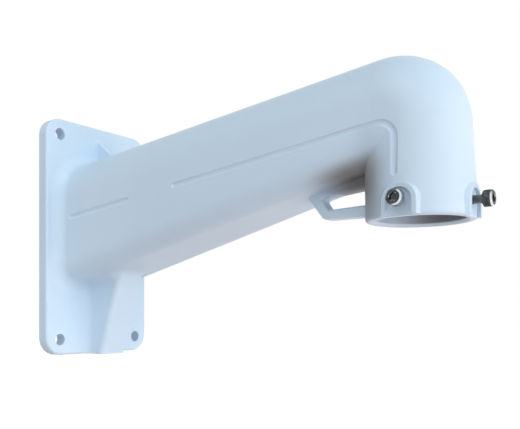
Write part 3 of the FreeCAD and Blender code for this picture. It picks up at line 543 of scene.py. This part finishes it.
def screw_head():
    """Plain head with a hexagonal opening in its face and its seat at zero."""
    bm = bmesh.new()
    mouth = SOCKET_CORNER + 0.1 * MM
    chamfer_foot = HEAD_HEIGHT - SOCKET_CHAMFER
    profile = [(THREAD_ROOT, 0), (HEAD_RADIUS - 0.3 * MM, 0), (HEAD_RADIUS - 0.1 * MM, 0.1 * MM),
               (HEAD_RADIUS, 0.35 * MM), (HEAD_RADIUS, KNURL_FOOT), (HEAD_RADIUS, KNURL_TOP),
               (HEAD_RADIUS, SLOPE_FOOT - 0.25 * MM), (HEAD_RADIUS - 0.08 * MM, SLOPE_FOOT),
               (FACE_RADIUS, HEAD_HEIGHT - 0.06 * MM), (FACE_RADIUS - 0.2 * MM, HEAD_HEIGHT),
               (mouth + 0.06 * MM, HEAD_HEIGHT), (mouth, HEAD_HEIGHT - 0.04 * MM),
               (SOCKET_HALF, chamfer_foot)]
    spin_profile(bm, profile, math.tau, ROUND_STEPS, merge=0.002 * MM)
    for v in ring_at(bm, chamfer_foot, SOCKET_HALF):
        turn = math.atan2(v.co.y, v.co.x) % math.radians(60) - math.radians(30)
        v.co.xy = v.co.xy.normalized() * (SOCKET_HALF / math.cos(turn))
    return bm


# %% [markdown]
# The socket's walls are the hexagon's outline extruded down. Its floor is left slightly coned, the way a
# drill leaves it before the hexagon is broached.

# %% Cut the socket and press in the knurl
def cut_socket(bm):
    """Walls and floor of the hexagonal socket."""
    open_edges = [edge for edge in bm.edges if len(edge.link_faces) == 1]
    mouth = [edge for edge in open_edges if edge.verts[0].co.z > HEAD_HEIGHT / 2]
    walls = bmesh.ops.extrude_edge_only(bm, edges=mouth)["geom"]
    lower = [v for v in walls if isinstance(v, bmesh.types.BMVert)]
    bmesh.ops.translate(bm, verts=lower, vec=(0, 0, SOCKET_CHAMFER - SOCKET_DEPTH))
    floor_edges = [edge for edge in walls if isinstance(edge, bmesh.types.BMEdge)]
    cone = bmesh.ops.extrude_edge_only(bm, edges=floor_edges)["geom"]
    centre = [v for v in cone if isinstance(v, bmesh.types.BMVert)]
    bmesh.ops.pointmerge(bm, verts=centre, merge_co=(0, 0, HEAD_HEIGHT - SOCKET_DEPTH - DRILL_TIP))


def press_knurl(bm):
    """Every other upright line of the head's side, pressed in between two plain bands."""
    for height in (KNURL_FOOT, KNURL_TOP):
        for v in ring_at(bm, height, HEAD_RADIUS):
            line = round(math.atan2(v.co.y, v.co.x) / math.tau * ROUND_STEPS)
            if line % 2:
                v.co.xy *= 1 - KNURL_DEPTH / HEAD_RADIUS


# %% [markdown]
# ## The thread
#
# A thread is a shallow V wound round the shank. One turn of it is a short profile; spun with a climb of
# one pitch in each turn, its end lands on its own start, and merging the doubles closes the surface.
# Two turns too many at the tip and one at the head make sure that there is thread to cut on both ends.
# The ends are then cut square and filled, and the tip is narrowed so that the screw finds its hole.

# %% Wind the thread
CUT_SNAP = 0.0001 * MM


def screw_thread():
    """Threaded shank below the seat."""
    bm = bmesh.new()
    start = -THREAD_LENGTH - 2 * PITCH
    turns = round(THREAD_LENGTH / PITCH) + 3
    profile = [(THREAD_CREST, start), (THREAD_CREST, start + 0.10 * PITCH),
               (THREAD_ROOT, start + 0.43 * PITCH), (THREAD_ROOT, start + 0.57 * PITCH),
               (THREAD_CREST, start + 0.90 * PITCH), (THREAD_CREST, start + PITCH)]
    spin_profile(bm, profile, math.tau * turns, THREAD_STEPS * turns, merge=0.005 * MM, climb=PITCH * turns)
    for height, below in ((-THREAD_LENGTH, True), (0.0, False)):
        whole = bm.verts[:] + bm.edges[:] + bm.faces[:]
        cut = bmesh.ops.bisect_plane(bm, geom=whole, dist=CUT_SNAP, plane_co=(0, 0, height),
                                     plane_no=(0, 0, 1), clear_inner=below, clear_outer=not below)
        rim = [edge for edge in cut["geom_cut"] if isinstance(edge, bmesh.types.BMEdge)]
        bmesh.ops.edgeloop_fill(bm, edges=rim)
    for v in bm.verts:
        limit = THREAD_CREST - max(0.0, THREAD_TIP - THREAD_LENGTH - v.co.z)
        if v.co.xy.length > limit:
            v.co.xy = v.co.xy.normalized() * limit
    return bm


def whole_screw():
    """Head and shank in one mesh, along Z with the seat at zero."""
    head = screw_head()
    cut_socket(head)
    press_knurl(head)
    shank = screw_thread()
    for bm in (head, shank):
        bmesh.ops.recalc_face_normals(bm, faces=bm.faces)
    shank_mesh = bpy.data.meshes.new("shank")
    shank.to_mesh(shank_mesh)
    shank.free()
    head.from_mesh(shank_mesh)
    bpy.data.meshes.remove(shank_mesh)
    return head


# %% [markdown]
# ## The screws in their holes
#
# The new screws replace packed ones. Each is given the same body to ride on and a steel finish of its own.
# Smooth shading with sharp edges kept suits turned parts: round sides shade round, and the edges of the
# socket and the seat stay crisp. The seat is found from the imported screw's box, which has the head at one
# end and the tip of the thread at the other.

# %% Hand a bmesh over to the model
SHARP_FROM = math.radians(32)


def finished_piece(bm, name, body, stands_for, material):
    """Turn a bmesh into a piece that rides on a body."""
    mesh = bpy.data.meshes.new(name)
    bm.to_mesh(mesh)
    bm.free()
    mesh.shade_smooth()
    mesh.set_sharp_from_angle(angle=SHARP_FROM)
    mesh.materials.append(material)
    piece = bpy.data.objects.new(name, mesh)
    bpy.context.scene.collection.objects.link(piece)
    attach(piece, body)
    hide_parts(stands_for)
    print(name, "has", sum(len(face.vertices) - 2 for face in mesh.polygons), "triangles")


# %% Put the screws in their holes
def clamp_screw(side, out, highlight_side, knurl_highlight):
    """One finished clamp screw, its axis along out."""
    name, node = f"{side}_clamp_screw", f"clamp_screw_{side}"
    low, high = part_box(node)
    seat = (low + high) / 2 - out * (HEAD_HEIGHT - THREAD_LENGTH) / 2
    spin = Vector((0, 0, 1)).rotation_difference(out)
    bm = whole_screw()
    bmesh.ops.transform(bm, matrix=Matrix.Translation(seat) @ spin.to_matrix().to_4x4(), verts=bm.verts)
    back = spin.inverted().to_matrix()
    highlight_side = back @ highlight_side.normalized()
    steel = screw_steel(f"steel_{name}", back.to_euler(), -(back @ seat), highlight_side, knurl_highlight)
    finished_piece(bm, name, f"{side}_screw", node, steel)


# Where each screw points, which side takes its painted highlight, and how bright the knurl's painted
# highlight is
SCREWS = {"left": (Vector((-1, 0, 0)), Vector((0, -1, -0.35)), 0.8),
          "front": (Vector((0, -1, 0)), Vector((-1, 0, -0.8)), 0.0),
          "right": (Vector((1, 0, 0)), Vector((0, -1, -0.35)), 0.8)}
for side, (out, highlight_side, knurl_highlight) in SCREWS.items():
    clamp_screw(side, out, highlight_side, knurl_highlight)

# %% [markdown]
# ## Floor, lamps and background
#
# The bracket is shown as in a catalogue: it hangs free over a plain pale floor. The world shines like
# two white cloths, a strong one in front of the collar and a weaker one to the left, and a large box adds
# a little from above. A second box looks straight down at the floor in front, and the warm light that
# comes back from there fills the undersides. The background is white because the floor and the world say
# so to the camera and to reflections, not because more light falls on the bracket.

# %% Lay the floor
FLOOR_DROP = 0.22
FLOOR_HALF = 6.0
FLOOR_DARK = (0.84, 0.71, 0.68)
FLOOR_LIGHT = (0.88, 0.75, 0.72)
FLOOR_PATCHES = 14.0
FLOOR_GLOW = 1.2
GLOW_SHARE = 0.80
WHITE = (1, 1, 1, 1)

floor_mesh = bpy.data.meshes.new("floor")
floor_bm = bmesh.new()
bmesh.ops.create_grid(floor_bm, x_segments=1, y_segments=1, size=FLOOR_HALF)
bmesh.ops.translate(floor_bm, verts=floor_bm.verts, vec=(0, 0, cad_box[0][2] - FLOOR_DROP))
floor_bm.to_mesh(floor_mesh)
floor_bm.free()
floor = bpy.data.objects.new("floor", floor_mesh)
bpy.context.scene.collection.objects.link(floor)


def floor_finish():
    """Matt warm white floor that looks white to the camera and still takes the shadow."""
    pale = Finish("floor_pale")
    colour = pale.between(pale.noise(FLOOR_PATCHES, 3.0), FLOOR_DARK, FLOOR_LIGHT)
    pale.close({"Base Color": colour, "Roughness": 0.85})
    glow = pale.node("ShaderNodeEmission", {}, {"Color": WHITE, "Strength": FLOOR_GLOW})
    matt = Wire(pale, pale.shader.outputs[0])
    shown = pale.node("ShaderNodeMixShader", {}, {0: GLOW_SHARE * pale.seen_directly(), 1: matt, 2: glow})
    pale.feed(pale.tree.nodes["Material Output"], {"Surface": shown})
    return pale.material


floor_mesh.materials.append(floor_finish())

# %% Fill the world with light
FRONT_CLOTH = 2.43
LEFT_CLOTH = 0.80

world = bpy.data.worlds.new("studio")
world.use_nodes = True
bpy.context.scene.world = world
studio = Network(world.node_tree)
to_right, to_wall = studio.axes(studio.node("ShaderNodeTexCoord", {}, {}, "Generated"))[:2]
from_front = (0.0 - to_wall).larger(0.0) ** 2.0
from_left = (0.0 - to_right).larger(0.0) ** 2.0
strength = FRONT_CLOTH * from_front + LEFT_CLOTH * from_left
cloth = studio.node("ShaderNodeBackground", {}, {"Color": WHITE, "Strength": strength})
white = studio.node("ShaderNodeBackground", {}, {"Color": WHITE, "Strength": 1.0})
shown = studio.node("ShaderNodeMixShader", {}, {0: studio.seen_directly(), 1: cloth, 2: white})
studio.feed(studio.tree.nodes["World Output"], {"Surface": shown})
print("the world has", len(studio.tree.nodes), "nodes")


# %% Hang the lamps
def lamp(name, at, towards, side, power):
    """Square soft box at a place, facing another."""
    data = bpy.data.lights.new(name, "AREA")
    data.shape = "SQUARE"
    data.size = side
    data.energy = power
    box = bpy.data.objects.new(name, data)
    box.location = at
    box.rotation_euler = (Vector(towards) - Vector(at)).to_track_quat("-Z", "Y").to_euler()
    box.visible_camera = False
    bpy.context.scene.collection.objects.link(box)
    print(name, "gives", power, "W")


lamp("top_box", at=(-0.9, -0.2, 1.0), towards=(0.0, -0.17, 0.0), side=0.9, power=4.0)
lamp("floor_box", at=(0.2, -1.0, 0.0), towards=(0.2, -1.0, -1.0), side=0.6, power=8.6)
bpy.context.scene.view_settings.view_transform = "Standard"
